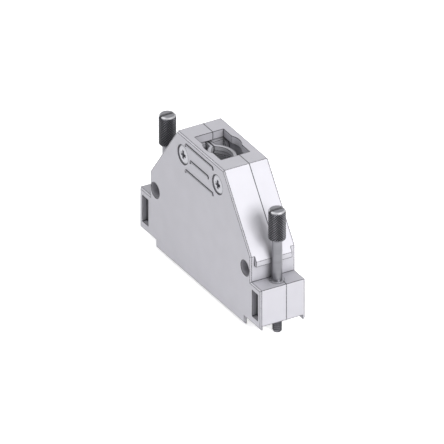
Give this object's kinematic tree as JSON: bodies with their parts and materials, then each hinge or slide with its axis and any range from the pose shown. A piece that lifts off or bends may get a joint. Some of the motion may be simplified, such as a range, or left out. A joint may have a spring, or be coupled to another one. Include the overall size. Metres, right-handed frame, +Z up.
{
  "type": "connector hood",
  "caption": "Two-part metal hood that closes over a cable-mounted connector, clamps its cable at the top and fastens with knurled captive jackscrews.",
  "frame": {"origin": "centre of the connector's seat, midway between the two jackscrews, level with the underside of the ears", "axes": "+Z up through the cable entry, +X along the connector, -Y out of the front face that holds the screw heads"},
  "size_m": [0.07, 0.0153, 0.0464],
  "materials": {
    "shell_zinc": "satin plating on die-cast zinc",
    "jackscrew_steel": "bright plated steel with a dark knurled head",
    "ring_steel": "satin spring steel",
    "fastener_steel": "satin nickel-plated steel",
    "clamp_steel": "zinc-plated steel"
  },
  "bodies": {
    "shell": {"front_shell": "shell_zinc", "rear_shell": "shell_zinc", "left_neck_screw": "fastener_steel", "right_neck_screw": "fastener_steel", "left_neck_nut": "fastener_steel", "right_neck_nut": "fastener_steel", "left_corner_screw": "fastener_steel", "right_corner_screw": "fastener_steel", "left_corner_nut": "fastener_steel", "right_corner_nut": "fastener_steel", "front_cable_clamp": "clamp_steel", "rear_cable_clamp": "clamp_steel"},
    "left_ring": {"left_retaining_ring": "ring_steel"},
    "right_ring": {"right_retaining_ring": "ring_steel"},
    "left_screw": {"left_thumbscrew": "jackscrew_steel"},
    "right_screw": {"right_thumbscrew": "jackscrew_steel"}
  },
  "joints": [
    {"name": "left_float", "type": "slide", "parent": "shell", "child": "left_ring", "axis": [0, 0, 1], "range_m": [0, 0.0045]},
    {"name": "left_spin", "type": "hinge", "parent": "left_ring", "child": "left_screw", "pos_m": [-0.03175, 0, 0.012], "axis": [0, 0, 1], "continuous": true},
    {"name": "right_float", "type": "slide", "parent": "shell", "child": "right_ring", "axis": [0, 0, 1], "range_m": [0, 0.0045]},
    {"name": "right_spin", "type": "hinge", "parent": "right_ring", "child": "right_screw", "pos_m": [0.03175, 0, 0.012], "axis": [0, 0, 1], "continuous": true}
  ]
}
